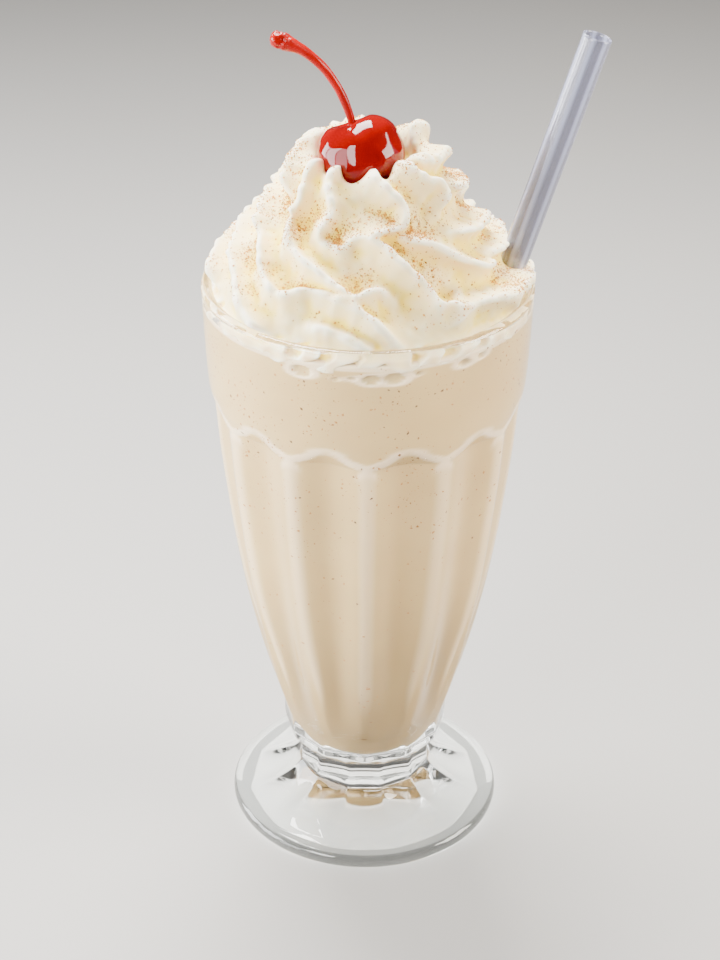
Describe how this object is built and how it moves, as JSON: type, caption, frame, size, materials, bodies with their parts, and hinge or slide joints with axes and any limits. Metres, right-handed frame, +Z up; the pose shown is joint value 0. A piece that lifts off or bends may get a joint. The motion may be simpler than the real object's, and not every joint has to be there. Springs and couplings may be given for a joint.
{
  "type": "milkshake in a footed soda glass",
  "caption": "Vanilla milkshake in a footed, panelled soda glass, with piped whipped cream, a stemmed cherry on top and a clear straw.",
  "frame": {"origin": "middle of the foot's underside, on the glass's axis, at table level", "axes": "+Z up along the glass's axis; the front is -Y; the straw leans towards +X"},
  "size_m": [0.1093, 0.092, 0.2468],
  "materials": {
    "glass": "clear polished",
    "milkshake": "smooth opaque cream drink with fine vanilla specks",
    "whipped_cream": "matte whipped cream with a dusting of ground nutmeg",
    "cherry": "glossy candied fruit",
    "cherry_stem": "glossy candied stalk",
    "straw": "translucent drinking straw"
  },
  "bodies": {
    "root": {"glass": "glass", "milkshake": "milkshake", "whipped_cream": "whipped_cream", "cherry": "cherry", "cherry_stem": "cherry_stem", "straw": "straw"}
  },
  "joints": []
}
